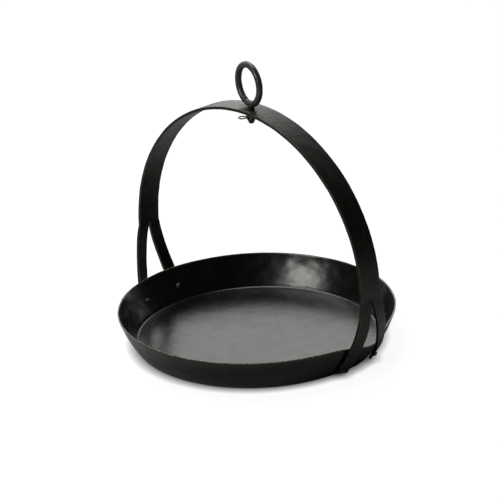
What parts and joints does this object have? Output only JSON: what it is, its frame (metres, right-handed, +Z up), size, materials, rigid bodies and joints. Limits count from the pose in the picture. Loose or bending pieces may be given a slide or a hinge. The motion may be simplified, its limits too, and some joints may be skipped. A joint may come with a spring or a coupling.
{
  "type": "hanging pan",
  "caption": "Round shallow steel pan hung from a flat-bar hoop with forked ends riveted to its wall and a swivelling eye in the crown.",
  "frame": {"origin": "centre of the pan's flat underside", "axes": "+Z up through the pan's centre; the hoop stands in the XZ plane, and +X points to the foot where the wall is drawn out"},
  "size_m": [0.3178, 0.28, 0.2901],
  "materials": {
    "pan_steel": "oiled black, satin, polished floor",
    "hoop_steel": "forge-scaled and waxed, satin",
    "rivet_steel": "hammered, satin",
    "eye_steel": "forge-scaled round rod",
    "fastener_steel": "blackened",
    "pin_steel": "dull drawn wire"
  },
  "bodies": {
    "root": {"pan": "pan_steel", "hoop_bar": "hoop_steel", "rivet_right_front": "rivet_steel", "rivet_right_rear": "rivet_steel", "rivet_left_front": "rivet_steel", "rivet_left_rear": "rivet_steel"},
    "swivel": {"swivel_eye": "eye_steel", "swivel_washer": "fastener_steel", "slotted_nut": "fastener_steel", "split_pin": "pin_steel"}
  },
  "joints": [
    {"name": "eye_swivel", "type": "hinge", "parent": "root", "child": "swivel", "pos_m": [0.0038, 0, 0.2428], "axis": [0, 0, 1], "continuous": true}
  ]
}
